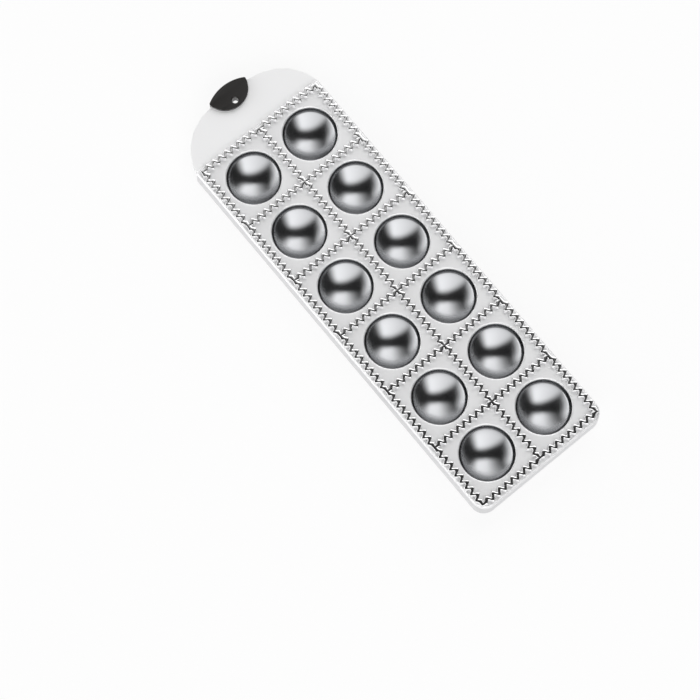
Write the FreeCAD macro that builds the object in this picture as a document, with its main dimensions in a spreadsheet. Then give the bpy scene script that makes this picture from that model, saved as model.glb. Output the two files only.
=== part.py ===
"""Ravioli mould: a cast aluminium tray with round bowls between zigzag cutting ridges.

Frame: +Z up, +Y towards the handle, X across. The origin is under the middle of the
overall box, on the surface that the rubber feet stand on. Lengths are millimetres.
"""

import FreeCAD, Part
import Sketcher
import math
import os
import re

VECTOR = FreeCAD.Vector
doc = FreeCAD.newDocument("ravioli_mould")


# Driving dimensions

SIZES = {
    "cell_pitch": "46",
    "cell_columns": "2",
    "cell_rows": "6",
    "wall": "1.8",
    "draft_angle": "1.5",
    "side_margin": "3.8",
    "end_margin": "4.8",
    "shoulder_margin": "3.3",
    "skirt_height": "15",
    "end_corner_radius": "9",
    "shoulder_corner_radius": "2.2",
    "top_edge_radius": "1.6",
    "bowl_rim_diameter": "36",
    "bowl_depth": "12",
    "bowl_lip_bevel": "0.8",
    "ridge_height": "2.5",
    "ridge_foot_width": "2",
    "ridge_crest_width": "1",
    "ridge_swing": "1.3",
    "ridge_root_depth": "0.9",
    "teeth_per_cell": "8",
    "crossing_length": "6",
    "shoulder_step": "0.5",
    "handle_reach": "29.2",
    "handle_side_radius": "36",
    "handle_end_radius": "99",
    "handle_drop": "0.9",
    "handle_rim_depth": "3.5",
    "handle_edge_radius": "1.2",
    "tab_width": "29.3",
    "tab_overhang": "4.5",
    "tab_crown": "4.1",
    "tab_belly": "12.7",
    "tab_tip_radius": "1.5",
    "tab_cap_height": "2",
    "tab_base_thickness": "3.2",
    "tab_edge_bevel": "0.8",
    "tab_grip": "1.6",
    "tab_clearance": "0.1",
    "hanging_hole_diameter": "4",
    "hanging_hole_inset": "12.3",
    "hole_mouth_depth": "0.8",
    "foot_inset": "5.3",
    "foot_post_diameter": "9.5",
    "foot_diameter": "8",
    "foot_thickness": "2",
    "foot_proud": "1",
    "foot_edge_bevel": "0.5",
    "stem_diameter": "4",
    "stem_length": "5",
    "stem_clearance": "0.1",
}

# Places that follow from them, each a formula on the sizes and on the places above it

PLACES = {
    "grid_half_width": "cell_columns * cell_pitch / 2",
    "grid_half_length": "cell_rows * cell_pitch / 2",
    "flare": "skirt_height * tan(draft_angle * 1deg)",
    "beyond_grid": "shoulder_margin + handle_reach + tab_overhang",
    "grid_y": "(end_margin + flare - beyond_grid) / 2",
    "half_width": "grid_half_width + side_margin",
    "handle_half_width": "half_width - shoulder_step",
    "end_y": "grid_y - grid_half_length - end_margin",
    "shoulder_y": "grid_y + grid_half_length + shoulder_margin",
    "cell_z": "foot_proud + skirt_height",
    "underside_z": "cell_z - wall",
    "bowl_radius": "(bowl_rim_diameter ^ 2 / 4 + bowl_depth ^ 2) / (2 * bowl_depth)",
    "bowl_centre_z": "cell_z + bowl_radius - bowl_depth",
    "first_bowl_x": "cell_pitch / 2 - grid_half_width",
    "first_bowl_y": "grid_y + cell_pitch / 2 - grid_half_length",
    "handle_z": "cell_z - handle_drop",
    "handle_end_y": "shoulder_y + handle_reach",
    "handle_root_y": "shoulder_y - wall / 2",
    "tip_y": "handle_end_y + tab_overhang - tab_crown",
    "crown_radius": "(tab_width ^ 2 / 4 + tab_crown ^ 2) / (2 * tab_crown)",
    "belly_radius": "(tab_width ^ 2 / 4 + tab_belly ^ 2) / (2 * tab_belly)",
    "belly_y": "tip_y - tab_belly + belly_radius",
    "hole_y": "handle_end_y + tab_overhang - hanging_hole_inset",
    "tab_top_z": "handle_z + tab_cap_height",
    "tab_bottom_z": "handle_z - wall - tab_base_thickness",
    "foot_x": "grid_half_width - foot_inset",
    "foot_reach_y": "grid_half_length - foot_inset",
}

sheet = doc.addObject("Spreadsheet::Sheet", "sizes")
for row, (alias, number) in enumerate(SIZES.items(), start=1):
    sheet.set("A%d" % row, alias)
    sheet.set("B%d" % row, number)
    sheet.setAlias("B%d" % row, alias)
doc.recompute()


def formula(text):
    """The text with sizes as references to their cells and places as their own formulas."""
    def swap(match):
        word = match.group()
        if word in PLACES:
            return "(%s)" % formula(PLACES[word])
        return "sizes." + word if word in SIZES else word
    return re.sub("[a-z_]+", swap, text)


def value(text):
    """The number that a formula comes to."""
    result = sheet.evalExpression(formula(text))
    return float(getattr(result, "Value", result))


# Helpers for sketches and features

def tie(item, **formulas):
    """Tie properties of an object to formulas; two underscores stand for a dot."""
    for prop, text in formulas.items():
        item.setExpression(prop.replace("__", "."), formula(text))
    return item


def origin_item(body, role):
    """The origin plane or axis of a body that plays the given role."""
    return next(item for item in body.Origin.OriginFeatures if item.Role == role)


def new_body(name):
    """A body whose label is its name."""
    body = doc.addObject("PartDesign::Body", name)
    body.Label = name
    return body


def new_sketch(body, name, role="XY_Plane", **offset):
    """A sketch on an origin plane of its body, moved by an offset that formulas give."""
    sketch = body.newObject("Sketcher::SketchObject", name)
    sketch.AttachmentSupport = (origin_item(body, role), [""])
    sketch.MapMode = "FlatFace"
    for axis, text in offset.items():
        sketch.setExpression(".AttachmentOffset.Base." + axis, formula(text))
    return sketch


def fix(sketch, kind, *elements):
    """Add a constraint that has no measure."""
    sketch.addConstraint(Sketcher.Constraint(kind, *elements))


def measure(sketch, name, text, kind, *elements):
    """Add a measured constraint with a name, tied to a formula."""
    index = sketch.addConstraint(Sketcher.Constraint(kind, *elements, value(text)))
    sketch.renameConstraint(index, name)
    sketch.setExpression("Constraints." + name, formula(text))


def feature(body, kind, name, profile=None, **formulas):
    """A feature of a body, on a sketch where it has one."""
    item = body.newObject("PartDesign::" + kind, name)
    if profile is not None:
        item.Profile = profile
    return tie(item, **formulas)


def soften_edges(body, base, name, test, kind="Fillet", **formulas):
    """Round or bevel the edges of a feature that pass a test."""
    doc.recompute()
    item = feature(body, kind, name, **formulas)
    numbered = enumerate(base.Shape.Edges, start=1)
    item.Base = (base, ["Edge%d" % number for number, edge in numbered if test(edge)])
    return item


def flat_at(edge, height):
    """True for an edge that lies level at a height."""
    box = edge.BoundBox
    return abs(box.ZMin - height) < 1e-4 and abs(box.ZMax - height) < 1e-4


def point(across, along):
    """A point of a sketch."""
    return VECTOR(across, along, 0)


def arc(centre, radius, start, end):
    """An arc of a circle, anticlockwise from one point to another."""
    circle = Part.Circle(centre, VECTOR(0, 0, 1), radius)
    angles = [math.atan2(place.y - centre.y, place.x - centre.x) for place in (start, end)]
    return Part.ArcOfCircle(circle, angles[0], angles[1])


def rounded_outline(sketch, half_width, low, high, low_radius, high_radius):
    """A rectangle about the Y axis with one corner radius at each end."""
    x, y0, y1 = value(half_width), value(low), value(high)
    r0, r1 = value(low_radius), value(high_radius)
    stops = [
        point(-x + r0, y0), point(x - r0, y0), point(x, y0 + r0), point(x, y1 - r1),
        point(x - r1, y1), point(-x + r1, y1), point(-x, y1 - r1), point(-x, y0 + r0),
    ]
    centres = {
        1: point(x - r0, y0 + r0), 3: point(x - r1, y1 - r1),
        5: point(-x + r1, y1 - r1), 7: point(-x + r0, y0 + r0),
    }
    for index, start in enumerate(stops):
        end = stops[(index + 1) % 8]
        if index in centres:
            centre = centres[index]
            sketch.addGeometry(arc(centre, centre.distanceToPoint(start), start, end))
        else:
            sketch.addGeometry(Part.LineSegment(start, end))
    for index in range(8):
        fix(sketch, "Tangent", index, 2, (index + 1) % 8, 1)
    fix(sketch, "Horizontal", 0)
    fix(sketch, "Symmetric", 2, 2, 6, 1, -2)
    fix(sketch, "Equal", 1, 7)
    fix(sketch, "Equal", 3, 5)
    measure(sketch, "half_width", half_width, "DistanceX", -1, 1, 2, 1)
    measure(sketch, "low_end", low, "DistanceY", -1, 1, 0, 1)
    measure(sketch, "high_end", high, "DistanceY", -1, 1, 4, 1)
    measure(sketch, "low_radius", low_radius, "Radius", 1)
    measure(sketch, "high_radius", high_radius, "Radius", 3)


def arch_outline(sketch, inset):
    """The handle's arch, drawn in by an inset: straight root, side arcs and a shallow end arc."""
    half_width = "handle_half_width - " + inset
    side_radius = "handle_side_radius - " + inset
    end_radius = "handle_end_radius - " + inset
    centre_y = "handle_end_y - handle_end_radius"
    x, low, shoulder = value(half_width), value("handle_root_y"), value("shoulder_y")
    small, large = value(side_radius), value(end_radius)
    middle = point(0, value(centre_y))
    corner = point(x, shoulder)
    # The side arc's centre is the side radius from the corner and touches the end arc inside
    gap = corner.distanceToPoint(middle)
    reach = large - small
    along = (reach ** 2 - small ** 2 + gap ** 2) / (2 * gap)
    aside = math.sqrt(reach ** 2 - along ** 2)
    way = (corner - middle).normalize()
    side = middle + way * along + VECTOR(-way.y, way.x, 0) * aside
    meet = middle + (side - middle).normalize() * large
    side_left, meet_left, corner_left = [
        point(-place.x, place.y) for place in (side, meet, corner)]
    sketch.addGeometry([
        Part.LineSegment(point(-x, low), point(x, low)),
        Part.LineSegment(point(x, low), corner),
        arc(side, small, corner, meet),
        arc(middle, large, meet, meet_left),
        arc(side_left, small, meet_left, corner_left),
        Part.LineSegment(corner_left, point(-x, low)),
    ])
    for first, second in ((0, 1), (1, 2), (4, 5), (5, 0)):
        fix(sketch, "Coincident", first, 2, second, 1)
    for first, second in ((2, 3), (3, 4)):
        fix(sketch, "Tangent", first, 2, second, 1)
    fix(sketch, "Vertical", 1)
    fix(sketch, "Symmetric", 1, 1, 5, 2, -2)
    fix(sketch, "Symmetric", 1, 2, 5, 1, -2)
    fix(sketch, "Equal", 2, 4)
    fix(sketch, "PointOnObject", 3, 3, -2)
    measure(sketch, "half_width", half_width, "DistanceX", -1, 1, 1, 1)
    measure(sketch, "root", "handle_root_y", "DistanceY", -1, 1, 1, 1)
    measure(sketch, "shoulder", "shoulder_y", "DistanceY", -1, 1, 1, 2)
    measure(sketch, "end_centre", centre_y, "DistanceY", -1, 1, 3, 3)
    measure(sketch, "side_radius", side_radius, "Radius", 2)
    measure(sketch, "end_radius", end_radius, "Radius", 3)


def cap_outline(sketch, radius, cut_height):
    """Half the section of a ball's lower cap, from the axis out to a level cut."""
    ball, centre, cut = value(radius), value("bowl_centre_z"), value(cut_height)
    reach = math.sqrt(ball ** 2 - (cut - centre) ** 2)
    bottom, rim, top = point(0, centre - ball), point(reach, cut), point(0, cut)
    sketch.addGeometry([
        arc(point(0, centre), ball, bottom, rim),
        Part.LineSegment(rim, top),
        Part.LineSegment(top, bottom),
    ])
    for first in range(3):
        fix(sketch, "Coincident", first, 2, (first + 1) % 3, 1)
    fix(sketch, "Horizontal", 1)
    fix(sketch, "PointOnObject", 0, 3, -2)
    fix(sketch, "PointOnObject", 1, 2, -2)
    fix(sketch, "PointOnObject", 0, 1, -2)
    measure(sketch, "centre_height", "bowl_centre_z", "DistanceY", -1, 1, 0, 3)
    measure(sketch, "cut_height", cut_height, "DistanceY", -1, 1, 1, 2)
    measure(sketch, "ball_radius", radius, "Radius", 0)


def bowl_outline(sketch):
    """Half the section of a bowl: a ball's cap that opens out over a bevelled lip."""
    ball, centre, floor = value("bowl_radius"), value("bowl_centre_z"), value("cell_z")
    lip = value("bowl_lip_bevel")
    reach = math.sqrt(ball ** 2 - (centre - floor + lip) ** 2)
    bottom, meet = point(0, centre - ball), point(reach, floor - lip)
    rim, top = point(reach + lip, floor), point(0, floor)
    sketch.addGeometry([
        arc(point(0, centre), ball, bottom, meet),
        Part.LineSegment(meet, rim),
        Part.LineSegment(rim, top),
        Part.LineSegment(top, bottom),
    ])
    for first in range(4):
        fix(sketch, "Coincident", first, 2, (first + 1) % 4, 1)
    fix(sketch, "Horizontal", 2)
    fix(sketch, "PointOnObject", 0, 1, -2)
    fix(sketch, "PointOnObject", 0, 3, -2)
    fix(sketch, "PointOnObject", 2, 2, -2)
    measure(sketch, "centre_height", "bowl_centre_z", "DistanceY", -1, 1, 0, 3)
    measure(sketch, "floor_height", "cell_z", "DistanceY", -1, 1, 2, 2)
    measure(sketch, "ball_radius", "bowl_radius", "Radius", 0)
    measure(sketch, "lip_width", "bowl_lip_bevel", "DistanceX", 1, 1, 1, 2)
    measure(sketch, "lip_height", "bowl_lip_bevel", "DistanceY", 1, 1, 1, 2)


def tab_circle(sketch, radius):
    """A circle about the middle of the hanging tab's inner curve."""
    centre = point(0, value("belly_y"))
    sketch.addGeometry(Part.Circle(centre, VECTOR(0, 0, 1), value(radius)))
    fix(sketch, "PointOnObject", 0, 3, -2)
    measure(sketch, "height", "belly_y", "DistanceY", -1, 1, 0, 3)
    measure(sketch, "radius", radius, "Radius", 0)


def lens_outline(sketch):
    """The hanging tab's outline: a deep curve over the handle and a flatter one outside."""
    tip = point(value("tab_width / 2"), value("tip_y"))
    other = point(-tip.x, tip.y)
    belly_middle = point(0, value("belly_y"))
    crown_middle = point(0, value("tip_y + tab_crown - crown_radius"))
    sketch.addGeometry([
        arc(belly_middle, value("belly_radius"), other, tip),
        arc(crown_middle, value("crown_radius"), tip, other),
    ])
    fix(sketch, "Coincident", 0, 2, 1, 1)
    fix(sketch, "Coincident", 1, 2, 0, 1)
    fix(sketch, "Symmetric", 0, 1, 0, 2, -2)
    measure(sketch, "half_width", "tab_width / 2", "DistanceX", -1, 1, 0, 2)
    measure(sketch, "tip_height", "tip_y", "DistanceY", -1, 1, 0, 2)
    measure(sketch, "belly_radius", "belly_radius", "Radius", 0)
    measure(sketch, "crown_radius", "crown_radius", "Radius", 1)


def foot_outline(sketch):
    """Half the section of a rubber foot: a bevelled pad with the stem above it."""
    pad, bevel, thick = value("foot_diameter / 2"), value("foot_edge_bevel"), value("foot_thickness")
    stem, top = value("(stem_diameter - stem_clearance) / 2"), value("foot_thickness + stem_length")
    stops = [
        point(0, 0), point(pad - bevel, 0), point(pad, bevel), point(pad, thick),
        point(stem, thick), point(stem, top), point(0, top),
    ]
    last = len(stops)
    for index, start in enumerate(stops):
        sketch.addGeometry(Part.LineSegment(start, stops[(index + 1) % last]))
    for first in range(last):
        fix(sketch, "Coincident", first, 2, (first + 1) % last, 1)
    for level in (0, 3, 5):
        fix(sketch, "Horizontal", level)
    for upright in (2, 4, 6):
        fix(sketch, "Vertical", upright)
    fix(sketch, "Coincident", 0, 1, -1, 1)
    measure(sketch, "bevel_width", "foot_edge_bevel", "DistanceX", 1, 1, 1, 2)
    measure(sketch, "bevel_height", "foot_edge_bevel", "DistanceY", 1, 1, 1, 2)
    measure(sketch, "pad_radius", "foot_diameter / 2", "DistanceX", -1, 1, 2, 2)
    measure(sketch, "pad_height", "foot_thickness", "DistanceY", -1, 1, 2, 2)
    measure(
        sketch, "stem_radius", "(stem_diameter - stem_clearance) / 2", "DistanceX", -1, 1, 4, 2)
    measure(sketch, "stem_height", "foot_thickness + stem_length", "DistanceY", -1, 1, 4, 2)


def foot_circles(sketch, diameter):
    """One circle over each foot."""
    for side in (-1, 1):
        for end in (-1, 1):
            number = len(sketch.Geometry)
            x, y = "%d * foot_x" % side, "grid_y + %d * foot_reach_y" % end
            centre = point(value(x), value(y))
            sketch.addGeometry(Part.Circle(centre, VECTOR(0, 0, 1), value(diameter) / 2))
            measure(sketch, "across_%d" % number, x, "DistanceX", -1, 1, number, 3)
            measure(sketch, "along_%d" % number, y, "DistanceY", -1, 1, number, 3)
            measure(sketch, "diameter_%d" % number, diameter, "Diameter", number)


# The tray: drafted skirt, cell floor, bowls and foot posts

tray = new_body("tray_casting")
outline = new_sketch(tray, "tray_outline", z="cell_z")
rounded_outline(
    outline, "half_width", "end_y", "shoulder_y", "end_corner_radius", "shoulder_corner_radius")
block = feature(
    tray, "Pad", "tray_block", outline, Length="skirt_height", TaperAngle="draft_angle * 1deg")
block.Reversed = True
soften_edges(
    tray, block, "top_edge", lambda edge: flat_at(edge, value("cell_z")), Radius="top_edge_radius")

cavity_outline = new_sketch(tray, "cavity_outline", z="underside_z")
rounded_outline(
    cavity_outline, "half_width - wall", "end_y + wall", "shoulder_y - wall",
    "end_corner_radius - wall", "shoulder_corner_radius - wall")
cavity = feature(
    tray, "Pocket", "cavity", cavity_outline,
    Length="skirt_height", TaperAngle="draft_angle * 1deg")

first_bowl = {"x": "first_bowl_x", "z": "-first_bowl_y"}
dome_section = new_sketch(tray, "dome_section", "XZ_Plane", **first_bowl)
cap_outline(dome_section, "bowl_radius + wall", "cell_z - wall / 2")
dome = feature(tray, "Revolution", "dome", dome_section)
dome.ReferenceAxis = (dome_section, ["V_Axis"])
bowl_section = new_sketch(tray, "bowl_section", "XZ_Plane", **first_bowl)
bowl_outline(bowl_section)
bowl = feature(tray, "Groove", "bowl", bowl_section)
bowl.ReferenceAxis = (bowl_section, ["V_Axis"])
doc.recompute()

bowls = feature(tray, "MultiTransform", "bowls")
bowls.Originals = [dome, bowl]
steps = []
for name, role, count in (("across", "X_Axis", "cell_columns"), ("along", "Y_Axis", "cell_rows")):
    step = feature(
        tray, "LinearPattern", "bowls_" + name,
        Length="cell_pitch * (%s - 1)" % count, Occurrences=count)
    step.Direction = (origin_item(tray, role), [""])
    steps.append(step)
bowls.Transformations = steps
tray.Tip = bowls


post_circles = new_sketch(tray, "post_circles", z="underside_z + wall / 2")
foot_circles(post_circles, "foot_post_diameter")
posts = feature(
    tray, "Pad", "foot_posts", post_circles, Length="underside_z + wall / 2 - foot_thickness")
posts.Reversed = True
stem_circles = new_sketch(tray, "stem_circles", z="foot_thickness")
foot_circles(stem_circles, "stem_diameter")
stem_holes = feature(
    tray, "Pocket", "stem_holes", stem_circles, Length="stem_length + stem_clearance")
stem_holes.Reversed = True

# The handle: an arched plate with a shallow rim, cut out for the hanging tab

handle = new_body("handle_casting")
arch = new_sketch(handle, "handle_outline", z="handle_z")
arch_outline(arch, "0")
plate = feature(handle, "Pad", "handle_plate", arch, Length="handle_rim_depth")
plate.Reversed = True
soften_edges(
    handle, plate, "handle_edge",
    lambda edge: flat_at(edge, value("handle_z")) and edge.CenterOfMass.y > value("shoulder_y"),
    Radius="handle_edge_radius")
recess = new_sketch(handle, "recess_outline", z="handle_z - wall")
arch_outline(recess, "wall")
underside = feature(handle, "Pocket", "handle_underside", recess, Length="handle_rim_depth")

seat = new_sketch(handle, "tab_seat_circle", z="handle_z")
tab_circle(seat, "belly_radius - tab_grip")
tab_seat = feature(handle, "Pocket", "tab_seat", seat, Length="handle_rim_depth")
relief = new_sketch(handle, "rim_relief_circle", z="handle_z - wall")
tab_circle(relief, "belly_radius + tab_clearance")
rim_relief = feature(handle, "Pocket", "rim_relief", relief, Length="handle_rim_depth")


# The cutting ridges: straight at each crossing and zigzag along each side of a cell

def ridge_line(cells):
    """The middle line of one ridge along a row of cells, as points along and aside."""
    pitch, straight = value("cell_pitch"), value("crossing_length") / 2
    teeth = int(value("teeth_per_cell"))
    half_tooth = (pitch - 2 * straight) / teeth / 2
    overrun = value("ridge_foot_width") / 2
    places = [VECTOR(-overrun, 0, 0)]
    for cell in range(cells):
        start = cell * pitch + straight
        places.append(VECTOR(start, 0, 0))
        for half in range(2 * teeth):
            swing = value("ridge_swing") * (1 if half % 2 == 0 else -1)
            places.append(VECTOR(start + (half + 0.5) * half_tooth, swing, 0))
        places.append(VECTOR((cell + 1) * pitch - straight, 0, 0))
    places.append(VECTOR(cells * pitch + overrun, 0, 0))
    return places


def beside(places, distance):
    """A line drawn at a distance beside another, with mitred corners."""
    ways = [(end - start).normalize() for start, end in zip(places, places[1:])]
    normals = [VECTOR(-way.y, way.x, 0) for way in ways]
    pairs = zip([normals[0]] + normals, normals + [normals[-1]])
    return [
        place + (before + after) * (distance / (1 + before.dot(after)))
        for place, (before, after) in zip(places, pairs)]


def ridge(cells, placement):
    """One ridge with sloping flanks, from its root in the cell floor up to its flat crest."""
    foot, crest = value("ridge_foot_width") / 2, value("ridge_crest_width") / 2
    height, root = value("ridge_height"), value("ridge_root_depth")
    places = ridge_line(cells)
    rings = []
    for level in (-root, height):
        half = foot + (crest - foot) * level / height
        ring = beside(places, half) + beside(places, -half)[::-1]
        rings.append([place + VECTOR(0, 0, level) for place in ring])
    low, high = [ring + ring[:1] for ring in rings]
    outlines = [low, high] + [
        [low[side], low[side + 1], high[side + 1], high[side], low[side]]
        for side in range(len(low) - 1)]
    flanks = [Part.Face(Part.makePolygon(corners)) for corners in outlines]
    solid = Part.Solid(Part.Shell(flanks))
    solid.Placement = placement
    return solid


def ridge_lattice():
    """Every ridge of the grid, joined at the crossings."""
    pitch, columns, rows = (
        value("cell_pitch"), int(value("cell_columns")), int(value("cell_rows")))
    left, low, floor = (
        -value("grid_half_width"), value("grid_y - grid_half_length"), value("cell_z"))
    turned = FreeCAD.Rotation(VECTOR(0, 0, 1), 90)
    ridges = [
        ridge(rows, FreeCAD.Placement(VECTOR(left + column * pitch, low, floor), turned))
        for column in range(columns + 1)]
    ridges += [
        ridge(columns, FreeCAD.Placement(VECTOR(left, low + row * pitch, floor), FreeCAD.Rotation()))
        for row in range(rows + 1)]
    return ridges[0].fuse(ridges[1:])


doc.recompute()
ridges = doc.addObject("Part::Feature", "cutting_ridges")
ridges.Shape = ridge_lattice()

mould = doc.addObject("Part::MultiFuse", "mould_plate")
mould.Label = "mould_plate"
mould.Shapes = [tray, handle, ridges]
mould.Refine = True


# The hanging tab: a lens of black plastic, grooved to grip the handle's cut-out

blank = new_body("tab_blank")
lens = new_sketch(blank, "lens_outline", z="tab_top_z")
lens_outline(lens)
lens_pad = feature(blank, "Pad", "lens", lens, Length="tab_top_z - tab_bottom_z")
lens_pad.Reversed = True
tips = soften_edges(
    blank, lens_pad, "tab_tips",
    lambda edge: edge.BoundBox.ZLength > value("tab_top_z - tab_bottom_z") / 2,
    Radius="tab_tip_radius")
soften_edges(
    blank, tips, "tab_edges",
    lambda edge: flat_at(edge, value("tab_top_z")) or flat_at(edge, value("tab_bottom_z")),
    kind="Chamfer", Size="tab_edge_bevel")


def cylinder(name, radius, height, x="0", y="0", z="0"):
    """An upright cylinder whose sizes and place are formulas."""
    return tie(
        doc.addObject("Part::Cylinder", name), Radius=radius, Height=height,
        Placement__Base__x=x, Placement__Base__y=y, Placement__Base__z=z)


handle_metal = cylinder(
    "handle_metal", "handle_end_radius + tab_clearance", "wall + tab_clearance",
    y="handle_end_y - handle_end_radius", z="handle_z - wall - tab_clearance / 2")
tab_core = cylinder(
    "tab_core", "belly_radius - tab_grip - tab_clearance", "wall + tab_clearance",
    y="belly_y", z="handle_z - wall - tab_clearance / 2")
groove = doc.addObject("Part::Cut", "tab_groove")
groove.Base, groove.Tool = handle_metal, tab_core
hole = cylinder(
    "hanging_hole", "hanging_hole_diameter / 2", "tab_top_z - tab_bottom_z",
    y="hole_y", z="tab_bottom_z")
mouth = tie(
    doc.addObject("Part::Cone", "hole_mouth"),
    Radius1="hanging_hole_diameter / 2", Radius2="hanging_hole_diameter / 2 + hole_mouth_depth",
    Height="hole_mouth_depth", Placement__Base__y="hole_y",
    Placement__Base__z="tab_top_z - hole_mouth_depth")
cuts = doc.addObject("Part::MultiFuse", "tab_cuts")
cuts.Shapes = [groove, hole, mouth]
tab = doc.addObject("Part::Cut", "hanging_tab")
tab.Label = "hanging_tab"
tab.Base, tab.Tool = blank, cuts


# Rubber feet, each pushed by its stem into a post under one corner

def rubber_foot(name, side, end):
    """One foot: a round pad with a softened lower edge and a stem."""
    body = new_body(name)
    section = new_sketch(body, name + "_section", "XZ_Plane")
    foot_outline(section)
    turn = feature(body, "Revolution", name + "_turning", section)
    turn.ReferenceAxis = (section, ["V_Axis"])
    return tie(
        body, Placement__Base__x="%d * foot_x" % side,
        Placement__Base__y="grid_y + %d * foot_reach_y" % end)


FOOT_PLACES = {
    "foot_end_left": (-1, -1),
    "foot_end_right": (1, -1),
    "foot_handle_left": (-1, 1),
    "foot_handle_right": (1, 1),
}
feet = [rubber_foot(name, *place) for name, place in FOOT_PLACES.items()]
doc.recompute()


# Checks and files

faults = [
    "%s is %s" % (item.Name, item.State) for item in doc.Objects
    if "Invalid" in item.State or "Error" in item.State]
nodes = [mould, tab] + feet
for node in nodes:
    shape = node.Shape
    if shape.isNull() or not shape.isValid() or len(shape.Solids) != 1:
        faults.append("%s has no single valid solid" % node.Label)
if faults:
    raise RuntimeError("; ".join(faults))

os.makedirs("parts", exist_ok=True)
for node in nodes:
    node.Shape.exportStep(os.path.join("parts", node.Label + ".step"))
    box = node.Shape.BoundBox
    print(
        "%-18s %6.1f x %6.1f x %5.1f mm, %8.0f mm3"
        % (node.Label, box.XLength, box.YLength, box.ZLength, node.Shape.Volume))
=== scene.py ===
"""Ravioli mould: a cast aluminium tray of polished bowls with cutting ridges between them.

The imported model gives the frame, in metres. Every piece is modelled in millimetres about the
same origin and is brought to metres when it is finished.
"""

import logging
import math
from collections.abc import Callable, Iterator
from contextlib import contextmanager
from dataclasses import dataclass
from enum import Enum

import bmesh
import bpy
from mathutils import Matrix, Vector


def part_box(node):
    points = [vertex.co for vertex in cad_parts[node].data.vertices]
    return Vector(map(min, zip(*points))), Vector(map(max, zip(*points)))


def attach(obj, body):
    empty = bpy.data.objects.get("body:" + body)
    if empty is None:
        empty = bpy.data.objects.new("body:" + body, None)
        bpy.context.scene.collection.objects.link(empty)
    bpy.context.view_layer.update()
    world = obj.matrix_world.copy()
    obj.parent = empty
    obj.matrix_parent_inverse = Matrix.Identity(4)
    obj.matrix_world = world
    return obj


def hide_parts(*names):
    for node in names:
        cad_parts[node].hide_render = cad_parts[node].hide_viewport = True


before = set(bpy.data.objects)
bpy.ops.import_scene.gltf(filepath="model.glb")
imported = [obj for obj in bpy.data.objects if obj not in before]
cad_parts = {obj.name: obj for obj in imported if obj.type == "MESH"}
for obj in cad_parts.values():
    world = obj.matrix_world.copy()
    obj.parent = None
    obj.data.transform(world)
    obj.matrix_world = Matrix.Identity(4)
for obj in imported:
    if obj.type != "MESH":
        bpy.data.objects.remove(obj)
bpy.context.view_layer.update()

MM = 0.001
BODY = "root"
NEAR = 0.01  # mm within which a corner counts as lying on a plane
MERGE = 0.001  # mm within which two corners are merged
SHARP = math.radians(35)  # edges that turn by more than this stay sharp
log = logging.getLogger("ravioli_mould")


class Element(Enum):
    """What is picked in edit mode."""

    VERT = "VERT"
    EDGE = "EDGE"
    FACE = "FACE"


class Join(Enum):
    """How a second solid changes the first."""

    ADD = "UNION"
    CUT = "DIFFERENCE"


def node_box(node: str) -> tuple[Vector, Vector]:
    """Finds where a node of the frame lies.

    Args:
        node: The node's name.

    Returns:
        Its lowest and highest corner, in millimetres.
    """
    low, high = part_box(node)
    return Vector(low) / MM, Vector(high) / MM


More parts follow.
